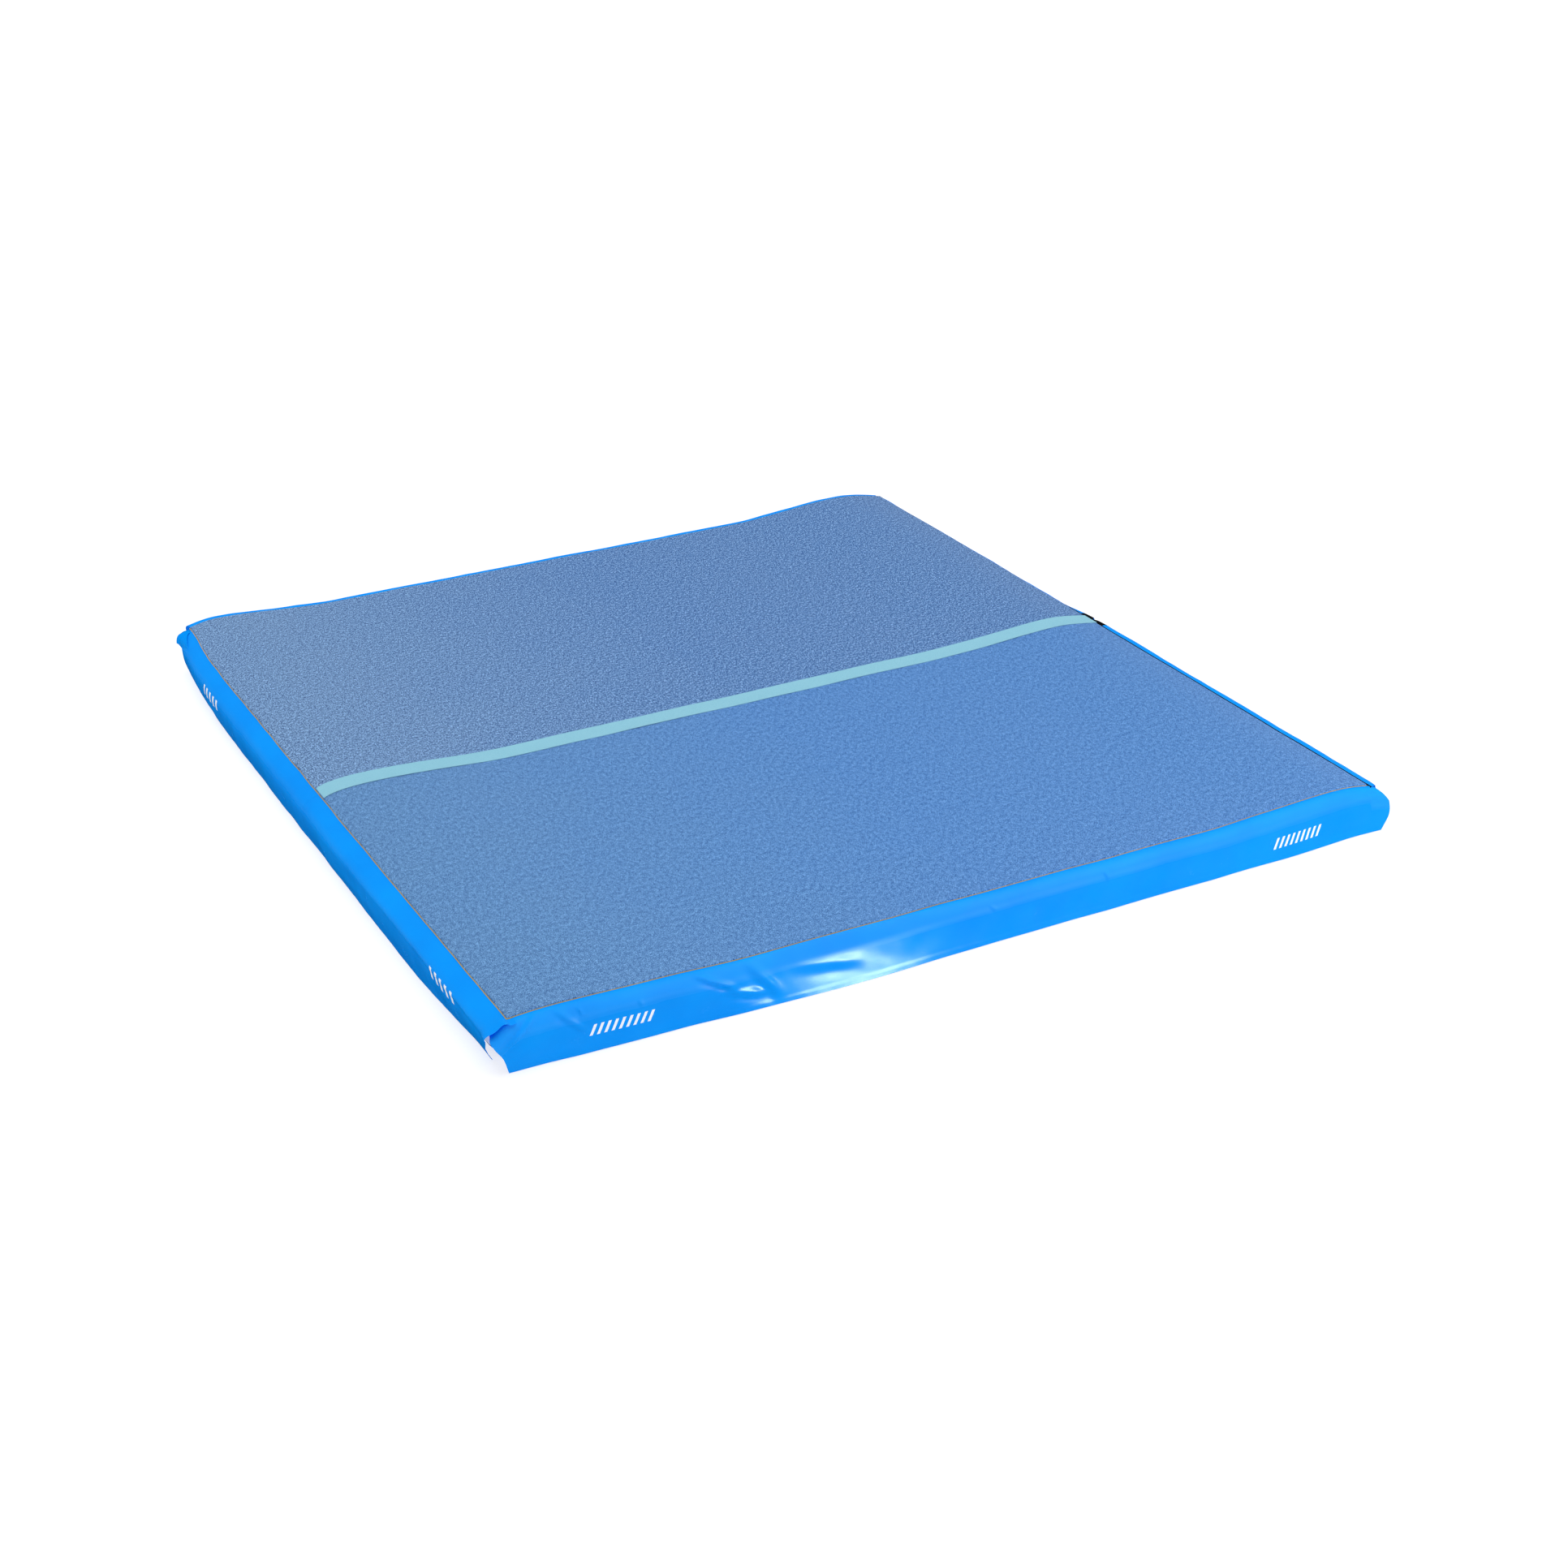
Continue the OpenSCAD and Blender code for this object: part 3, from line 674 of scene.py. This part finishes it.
def corner_gusset():
    """The back cover's rear left corner: it drapes over the mat's corner, and its cut edge runs in below."""
    pivot = np.array([-1.885, 1.905])
    straight = np.linspace(0, 1, 40)
    turn = np.linspace(0, math.radians(118), 40)[1:]
    angle = np.concatenate([0 * straight, turn])
    out = np.stack([-np.cos(angle), np.sin(angle)], -1)
    r, knots = np.linspace(0, 1, 30), [0, 0.2, 0.5, 0.8, 1.0]
    reach = curve(r, knots, [-0.016, 0.010, 0.038, 0.050, 0.053])
    tilt = smooth(0.2, 1.5, angle)
    point = np.exp(-((angle - 0.50) / 0.26) ** 2)
    fall = curve(r, knots, [0.0, 0.001, 0.015, 0.036, 0.056])
    begin = curve(r, knots, [1.900, 1.885, 1.810, 1.745, 1.735])
    hub = np.zeros((len(angle), len(r), 2)) + pivot
    hub[:len(straight), :, 1] = begin[None, :] + (pivot[1] - begin[None, :]) * straight[:, None]
    spread = 0.016 * tilt + 0.010 * point
    away = reach[None, :] + spread[:, None] * smooth(0.0, 0.5, r)[None, :]
    place = hub + out[:, None, :] * away[..., None]
    edge_x, edge_y = np.maximum(place[..., 0], -1.866), np.minimum(place[..., 1], CARPET_Y)
    z = deck(edge_x, edge_y) - PILE - BACKING + 0.0062 * smooth(0.0, 0.15, r)[None, :] - fall[None, :]
    run = np.concatenate([[0], np.cumsum(np.hypot(np.diff(reach), np.diff(fall)))])
    along = np.concatenate([0.25 * straight, 0.25 + 0.06 * turn])
    uv = np.stack([along[:, None] + 0 * run[None, :], 0.3 + run[None, :] + 0 * along[:, None]], -1)
    points = np.concatenate([place, z[..., None]], -1)
    return cloth("gusset", points, SHEET, uv, cover, np.array((-1, 0.3, 1.0)))


for half, pile_mat in (("front", front_pile), ("back", back_pile)):
    pile_name, backing_name, cover_name = half + "_pile", half + "_backing_cloth", half + "_cover"
    low = PILE + BACKING
    carpet = deck_sheet(pile_name, half, 0.0, 0.0, PILE - 0.0001, 0.0035, pile_mat, 0.011)
    backing = deck_sheet(backing_name, half, 0.0030, PILE, BACKING - 0.0001, 0.0, backing_mat, 0.022)
    under = deck_sheet(cover_name, half, -0.024, low, SHEET, 0.0, cover, 0.030)
    if half == "back":
        under = join(cover_name, [under, corner_gusset()])
    for piece, node, slot, flat, rests in (
            (carpet, "_carpet", half + "_pile", (3.78, 1.951), backing_name),
            (backing, "_backing", "backing", (3.784, 1.953), cover_name),
            (under, "_cover_sheet", "cover_pvc", (3.732, 1.927), "top_cloth")):
        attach(piece, "mat")
        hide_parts(half + node)


def joining_strip():
    """The pale strip along the joint, one long edge lifted a little here and there, with woven selvedges."""
    x = np.linspace(-1.8915, 1.8905, 420)[:, None]
    half = np.array([0.2, 0.4, 0.6, 0.80, 0.86, 0.90, 0.95, 0.985, 1])
    across = np.concatenate([-half[::-1], [0], half])[None, :]
    wander = 0.0012 * ripple(x, 0 * x, 61, 0.5)
    y = wander + 0.050 * across
    lift = 0.0016 * smooth(0.55, 1.0, -across) * (0.6 + 0.4 * ripple(x, 0 * x, 62, 0.22))
    ridge = 0.0005 * np.exp(-(((np.abs(across) - 0.90) / 0.04) ** 2))
    z = deck(x, y) + 0.0004 + np.maximum(lift, 0) + ridge
    top = np.stack([x + 0 * y, y, z + STRIP - 0.0008], -1)
    low = np.stack([x + 0 * y, y, z], -1)
    uv = np.stack([x + 0 * y, y], -1)
    piece = cloth("joint_strip_cloth", top, STRIP, uv, strip_mat, np.array((0, 0, 1.0)), lower=low)
    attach(piece, "mat")
    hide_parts("joint_strip")


joining_strip()
for name, spec in flaps.items():
    flap(name + "_cloth", body=name, node=name, **spec)

# ---------------------------------------------------------------- the inflated chamber

chamber_mat = coated_fabric("chamber_pvc", (16, 118, 214), (10, 104, 198), (0.38, 0.52))
wall_mat = coated_fabric("wall_pvc", (232, 238, 242), (218, 226, 232), (0.38, 0.52))
seam_mat = coated_fabric("seam_pvc", (10, 96, 190), (6, 84, 172), (0.34, 0.48))
# the corner patches glow: painted light that lifts them in the deep shade between the flaps
patch_mat = coated_fabric("patch_pvc", (222, 230, 236), (206, 216, 224), (0.36, 0.50), painted_glow=0.32)
web_mat = woven("webbing", (34, 52, 78), (16, 26, 44), 520.0, 0.7, 0.0006)
thread_mat = woven("thread", (226, 226, 220), (180, 180, 176), 900.0, 0.8)

HALF_L, HALF_R, HALF_F, HALF_B = 1.870, 1.870, 1.900, 1.915
BULGE_L, BULGE_R, BULGE_F, BULGE_B = 0.036, 0.105, 0.055, 0.062
SKIN_R, SKIN_DROP = 0.150, PILE + BACKING + SHEET + 0.0006
# the wall's lowest height, and its section's roundness: below 1 is fuller than an ellipse
WALL_LOW, ROUND, ROUND_R = 0.0012, 0.86, 1.20
# turns of the wall that the seam tapes reach and the corner patches start at
TAPE_TURN, PATCH_TURN, PATCH_REACH = 0.62, 0.75, 0.21
VALVE_Z, VALVE_HOLE_R = 0.1125, 0.0182
CX, CY = (HALF_R - HALF_L) / 2, (HALF_B - HALF_F) / 2
MIDDLE = np.array([CX, CY, 0.1])
HX, HY = (HALF_R + HALF_L) / 2, (HALF_B + HALF_F) / 2


def chamber_loop(pitch=0.02, corner_count=18):
    """The skins' outline in plan, anticlockwise, with its outward direction and the wall's bulge there."""
    out = []
    for k, (sx, sy) in enumerate(((1, -1), (1, 1), (-1, 1), (-1, -1))):
        c = np.array([CX + sx * (HX - SKIN_R), CY + sy * (HY - SKIN_R)])
        first = math.radians(-90 + 90 * k)
        for i in range(corner_count):
            a = first + math.pi / 2 * i / (corner_count - 1)
            out.append((c + SKIN_R * np.array([math.cos(a), math.sin(a)]), a))
        a = first + math.pi / 2
        n = np.array([math.cos(a), math.sin(a)])
        t = np.array([-n[1], n[0]])
        length = 2 * ((HY if k in (0, 2) else HX) - SKIN_R)
        for i in range(1, int(length / pitch)):
            out.append((c + SKIN_R * n + t * length * i / int(length / pitch), a))
    p = np.array([o[0] for o in out])
    a = np.array([o[1] for o in out])
    n = np.stack([np.cos(a), np.sin(a)], -1)
    bx = np.where(n[:, 0] > 0, BULGE_R, BULGE_L)
    by = np.where(n[:, 1] > 0, BULGE_B, BULGE_F)
    return p, n, np.hypot(bx * n[:, 0], by * n[:, 1])


def skin_z(x, y):
    return deck(np.clip(x, -CARPET_X, CARPET_X), np.clip(y, -CARPET_Y, CARPET_Y)) - SKIN_DROP


def wall_points(a, out=0.0):
    """Points on the wall at turns a, from 0 on top to pi underneath, a little outside it by out."""
    p, n, bulge = chamber_loop()
    top = skin_z(p[:, 0], p[:, 1])[:, None]
    c, s = np.cos(a)[None, :], np.sin(a)[None, :]
    power = (ROUND + (ROUND_R - ROUND) * np.clip(n[:, 0], 0, 1))[:, None]
    d = bulge[:, None] * np.abs(s) ** power + out * s
    z = top / 2 + top / 2 * np.sign(c) * np.abs(c) ** power + out * c + WALL_LOW
    z = np.maximum(z, WALL_LOW)
    q = p[:, None, :] + n[:, None, :] * d[..., None]
    run = np.concatenate([[0], np.cumsum(np.linalg.norm(np.diff(p, axis=0), axis=1))])
    v = a * 0.12
    uv = np.stack([run[:, None] + 0 * v[None, :], v[None, :] + 0 * run[:, None]], -1)
    return np.concatenate([q, z[..., None]], -1), uv


def skin(name, node, upper):
    """The chamber's top or bottom: a quad grid fitted to the rounded outline."""
    y = CY + HY * np.sin(np.linspace(-1, 1, 130) * math.pi / 2) * 0.5 + HY * np.linspace(-1, 1, 130) * 0.5
    in_corner = np.clip(np.abs(y - CY) - (HY - SKIN_R), 0, SKIN_R)
    half = HX - SKIN_R + np.sqrt(SKIN_R**2 - in_corner**2)
    a = np.linspace(-1, 1, 130)[:, None]
    x = CX + a * half[None, :]
    yy = y[None, :] + 0 * x
    z = skin_z(x, yy) if upper else 0 * x
    thick = 0.0014
    top = np.stack([x, yy, z + (0 if upper else thick)], -1)
    low = np.stack([x, yy, z - (thick if upper else 0)], -1)
    piece = cloth(name, top, thick, np.stack([x, yy], -1), chamber_mat, np.array((0, 0, 1.0)), lower=low)
    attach(piece, "mat")
    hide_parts(node)
    return piece


skin("top_cloth", "top_skin", True)
skin("bottom_cloth", "bottom_skin", False)

wall, wall_uv = wall_points(np.linspace(0.0, math.pi, 40))
walls = cloth("wall_band", wall, 0.0020, wall_uv, wall_mat, wall - MIDDLE, wrap=True)
cutter_mesh = bpy.data.meshes.new("valve_cut")
SIDES = 48
angles = [TAU * i / SIDES for i in range(SIDES)]
ring = [(1.90, VALVE_HOLE_R * math.cos(t), VALVE_Z + VALVE_HOLE_R * math.sin(t)) for t in angles]
ring += [(2.02, y, z) for _, y, z in ring]
ends = [tuple(range(SIDES - 1, -1, -1)), tuple(range(SIDES, 2 * SIDES))]
sides = [(i, (i + 1) % SIDES, (i + 1) % SIDES + SIDES, i + SIDES) for i in range(SIDES)]
cutter_mesh.from_pydata(ring, [], ends + sides)
cutter = bpy.data.objects.new("valve_cut", cutter_mesh)
bpy.context.scene.collection.objects.link(cutter)
cut = walls.modifiers.new("cut", "BOOLEAN")
cut.operation, cut.object, cut.solver = "DIFFERENCE", cutter, "EXACT"
bpy.context.view_layer.objects.active = walls
walls.select_set(True)
bpy.ops.object.modifier_apply(modifier="cut")
bpy.data.objects.remove(cutter)
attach(walls, "mat")
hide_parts("front_wall", "back_wall", "left_wall", "right_wall", "corner_walls")

for upper in (True, False):
    turns = np.linspace(0.0, TAPE_TURN, 12) if upper else np.linspace(math.pi - TAPE_TURN, math.pi, 12)
    band, band_uv = wall_points(turns, 0.0014)
    p, n, _ = chamber_loop()
    inner = np.concatenate([p - n * 0.030, band[:, :1, 2] if upper else band[:, -1:, 2]], 1)[:, None, :]
    inner[:, 0, 2] = skin_z(inner[:, 0, 0], inner[:, 0, 1]) + 0.0008 if upper else 0.0004
    if upper:
        grid = np.concatenate([inner, band], 1)
        grid_uv = np.concatenate([band_uv[:, :1] - [0, 0.03], band_uv], 1)
    else:
        grid = np.concatenate([band, inner], 1)
        grid_uv = np.concatenate([band_uv, band_uv[:, -1:] + [0, 0.03]], 1)
    edge_band = cloth("top_tape" if upper else "bottom_tape", grid, 0.0008, grid_uv, seam_mat, grid - MIDDLE,
                 wrap=True)
    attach(edge_band, "mat")
    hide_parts("top_seam_tapes" if upper else "bottom_seam_tapes")

patches = []
loop, _, _ = chamber_loop()
band, band_uv = wall_points(np.linspace(PATCH_TURN, math.pi - PATCH_TURN, 14), 0.0012)
for k, (sx, sy) in enumerate(((1, -1), (1, 1), (-1, 1), (-1, -1))):
    pick = (np.sign(loop[:, 0] - CX) == sx) & (np.sign(loop[:, 1] - CY) == sy)
    pick &= np.abs(loop[:, 0] - CX) > HX - PATCH_REACH
    pick &= np.abs(loop[:, 1] - CY) > HY - PATCH_REACH
    rows = np.where(pick)[0]
    cut_at = np.where(np.diff(rows) > 1)[0]
    if len(cut_at):
        rows = np.concatenate([rows[cut_at[0] + 1:], rows[:cut_at[0] + 1]])
    grid = band[rows]
    patches.append(cloth("patch_%d" % k, grid, 0.0010, band_uv[rows], patch_mat, grid - MIDDLE))
patches = join("corner_patch_set", patches)
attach(patches, "mat")
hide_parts("corner_patches")


def tube(path, radius, sides=8):
    """A closed tube along a path of points."""
    path = np.array(path, float)
    way = np.gradient(path, axis=0)
    way /= np.linalg.norm(way, axis=1, keepdims=True)
    ref = np.array([1.0, 0, 0]) if abs(way[0, 0]) < 0.9 else np.array([0, 1.0, 0])
    a = np.cross(way, ref)
    a /= np.linalg.norm(a, axis=1, keepdims=True)
    b = np.cross(way, a)
    t = (np.arange(sides) * TAU / sides)[None, :, None]
    rings = path[:, None, :] + radius * (a[:, None, :] * np.cos(t) + b[:, None, :] * np.sin(t))
    n = len(path)
    verts = rings.reshape(-1, 3)
    pairs = [(j, (j + 1) % sides) for j in range(sides)]
    faces = [(i + j, i + k, i + sides + k, i + sides + j)
             for i in range(0, (n - 1) * sides, sides) for j, k in pairs]
    faces += [tuple(range(sides))[::-1], tuple((n - 1) * sides + j for j in range(sides))]
    return verts, faces


THREADS, THREAD_PITCH, THREAD_R = 12, 0.300, 0.0012
verts, faces, uvs = [], [], []
for i in range(THREADS):
    for j in range(THREADS):
        x, y = (i - (THREADS - 1) / 2) * THREAD_PITCH, (j - (THREADS - 1) / 2) * THREAD_PITCH
        height = float(skin_z(x, y)) - 0.0016
        z = np.linspace(0.0016, height, 9)
        sway = 0.0016 * np.sin(np.linspace(0, math.pi, 9)) * math.sin(i * 2.1 + j * 1.3)
        tv, tf = tube(np.stack([x + sway, y + 0 * z, z], -1), THREAD_R)
        faces += [tuple(f + len(verts) for f in face) for face in tf]
        uvs += [(0.001 * (k % 8), tv[k][2]) for k in range(len(tv))]
        verts += tv.tolist()
threads = make_mesh("threads", verts, faces, uvs, thread_mat, sharp=50)
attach(threads, "mat")
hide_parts("drop_stitch_threads")

# ---------------------------------------------------------------- handles


def wall_frame(side, across):
    """A wall's outermost line: (point, outward, along) in plan."""
    return {"L": (np.array([-HALF_L - BULGE_L, across]), np.array([-1.0, 0]), np.array([0, 1.0])),
            "R": (np.array([HALF_R + BULGE_R, across]), np.array([1.0, 0]), np.array([0, 1.0])),
            "F": (np.array([across, -HALF_F - BULGE_F]), np.array([0, -1.0]), np.array([1.0, 0])),
            "B": (np.array([across, HALF_B + BULGE_B]), np.array([0, 1.0]), np.array([1.0, 0]))}[side]


def on_wall(side, across, u, dz, off):
    """A point on the wall: u along from across, dz from its middle height, off outside it."""
    p, n, t = wall_frame(side, across)
    p = p + t * u
    bulge = {"L": BULGE_L, "R": BULGE_R, "F": BULGE_F, "B": BULGE_B}[side]
    top = float(skin_z(*(p - n * bulge)))
    zc = top / 2 + WALL_LOW
    power = ROUND_R if side == "R" else ROUND
    s = max(0.0, 1 - abs(2 * dz / top) ** (2 / power)) ** (power / 2)
    return np.array([*(p + n * (off - bulge * (1 - s))), zc + dz])


def handle_lift(u):
    """How far the webbing stands off its patch: more in the middle, pressed in at the stitching."""
    stitching = math.exp(-((abs(u) - 0.098) / 0.004) ** 2)
    return float(0.0030 + 0.0016 * (1 - smooth(0.060, 0.085, abs(u))) - 0.0007 * stitching)


def on_wall_sheet(name, side, across, us, zs, lift, thick, material):
    """A sheet that follows a wall, lifted off it by lift(u)."""
    grid = np.array([[on_wall(side, across, u, dz, lift(u)) for dz in zs] for u in us])
    uv = np.stack(np.meshgrid(us, zs, indexing="ij"), -1)
    _, n, _ = wall_frame(side, across)
    return cloth(name, grid, thick, uv, material, np.array([n[0], n[1], 0.0]))


HANDLE_AT = 0.714
handle_parts, patch_parts = [], []
for side in "LRFB":
    for across in (-HANDLE_AT, HANDLE_AT):
        us, zs = np.linspace(-0.130, 0.130, 27), np.linspace(-0.027, 0.027, 7)
        patch_parts.append(on_wall_sheet("patch", side, across, us, zs, lambda u: 0.0013, 0.0010, seam_mat))
        us, zs = np.linspace(-0.110, 0.110, 45), np.linspace(-0.019, 0.019, 7)
        handle_parts.append(on_wall_sheet("web", side, across, us, zs, handle_lift, 0.0014, web_mat))
for name, parts, node, slot in (("handle_patch_set", patch_parts, "handle_patches", "seam_pvc"),
                                ("handle_webbing", handle_parts, "carry_handles", "webbing")):
    piece = join(name, parts)
    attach(piece, "mat")
    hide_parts(node)

# ---------------------------------------------------------------- the valve's CAD solids keep their shape

finishes = {
    "valve_body": moulded("valve_plastic", (34, 38, 44), 0.36),
    "valve_poppet": moulded("poppet_plastic", (206, 120, 30), 0.34, wear_and_sheen=(235, 190, 140)),
    "valve_gasket": moulded("seal_rubber", (20, 21, 23), 0.62, 700.0, wear_and_sheen=(70, 72, 76)),
}
spring_mat = moulded("spring_steel", (188, 190, 194), 0.26, 2600.0, 1.0, (120, 120, 122))
for donor, alike in (("valve_body", ("valve_back_nut", "valve_cap")),
                     ("valve_gasket", ("tether_ring", "cap_link", "valve_cap_seal"))):
    finishes.update((node, finishes[donor]) for node in alike)
for node, material in finishes.items():
    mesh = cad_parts[node].data
    mesh.materials.clear()
    mesh.materials.append(material)

# the check valve's spring, a fixed coil here; the real one shortens as the poppet is pressed
COIL_R, COIL_TURNS, WIRE_R, WIRE_SIDES = 0.0046, 4, 0.00045, 10
SPRING_IN, SPRING_OUT = 1.9665, 1.9745
turn = np.linspace(0, COIL_TURNS * TAU, 200)
coil_x = np.linspace(SPRING_IN, SPRING_OUT, len(turn))
coil = np.stack([coil_x, COIL_R * np.cos(turn), VALVE_Z + COIL_R * np.sin(turn)], -1)
coil_verts, coil_faces = tube(coil, WIRE_R, WIRE_SIDES)
coil_uv = [(0.0003 * (k % WIRE_SIDES), 0.0007 * (k // WIRE_SIDES)) for k in range(len(coil_verts))]
spring = make_mesh("check_spring", coil_verts, coil_faces, coil_uv, spring_mat)
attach(spring, "mat")
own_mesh(spring)
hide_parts("valve_spring")

# ---------------------------------------------------------------- floor, light and camera


FLOOR_HALF, FLOOR_Z = 150, -0.0004


def floor_material():
    n = Nodes("floor_paper")
    at = n.coords(uv=False)
    tone = n.mix(n.noise(at, 0.8, 3.0), rgb(160, 160, 160), rgb(166, 166, 166))
    rough = n.span(n.noise(at, 6.0, 3.0), 0.3, 0.7, 0.85, 0.95)
    return n.finish(tone, rough, n.bump(n.noise(at, 60.0), 0.0003, 0.2),
                    Specular_IOR_Level=0.0, Emission_Color=(1.0, 1.0, 1.0, 1.0), Emission_Strength=0.74)


floor_mesh = bpy.data.meshes.new("floor")
floor_corners = [(x * FLOOR_HALF, y * FLOOR_HALF, FLOOR_Z) for x, y in ((-1, -1), (1, -1), (1, 1), (-1, 1))]
floor_mesh.from_pydata(floor_corners, [], [(0, 1, 2, 3)])
floor_mesh.materials.append(floor_material())
floor = bpy.data.objects.new("floor", floor_mesh)
bpy.context.scene.collection.objects.link(floor)
floor.visible_glossy = False

world = bpy.data.worlds.new("studio")
bpy.context.scene.world = world
world.use_nodes = True
world.node_tree.nodes["Background"].inputs["Color"].default_value = (1, 1, 1, 1)
world.node_tree.nodes["Background"].inputs["Strength"].default_value = 0.40
world.cycles_visibility.glossy = False


def light(name, kind, energy, location, target, **values):
    data = bpy.data.lights.new(name, kind)
    data.energy = energy
    for key, value in values.items():
        setattr(data, key, value)
    obj = bpy.data.objects.new(name, data)
    bpy.context.scene.collection.objects.link(obj)
    obj.location = location
    obj.rotation_euler = (Vector(target) - Vector(location)).to_track_quat("-Z", "Y").to_euler()
    obj.visible_camera = False
    return obj


light("key", "SUN", 2.1, (-1.0, -1.1, 8.0), (0, 0, 0), angle=math.radians(50))
# the window shows in the gloss only, and lights nothing else
window = light("window", "AREA", 640.0, (1.25, -5.3, 0.74), (-0.60, -2.0, 0.08),
               shape="RECTANGLE", size=1.9, size_y=1.10)
window.visible_diffuse = False
fill = light("fill", "AREA", 85.0, (3.6, -6.0, 1.4), (1.2, -2.0, 0.1), shape="DISK", size=1.8)
fill.visible_glossy = False

scene = bpy.context.scene
scene.view_settings.view_transform = "Standard"
scene.view_settings.look = "None"

AZIMUTH, ELEVATION = math.radians(-28.492), math.radians(26.657)
level = math.cos(ELEVATION)
ahead = Vector((-math.sin(AZIMUTH) * level, math.cos(AZIMUTH) * level, -math.sin(ELEVATION)))
right = ahead.cross(Vector((0, 0, 1))).normalized()
up = right.cross(ahead)
camera_data = bpy.data.cameras.new("camera")
camera_data.lens, camera_data.sensor_width = 55.15, 36.0
camera_data.clip_end = 400.0
camera = bpy.data.objects.new("camera", camera_data)
scene.collection.objects.link(camera)
camera.matrix_world = Matrix((
    (right.x, up.x, -ahead.x, -4.3792),
    (right.y, up.y, -ahead.y, -8.5200),
    (right.z, up.z, -ahead.z, 4.6165),
    (0, 0, 0, 1)))
scene.camera = camera
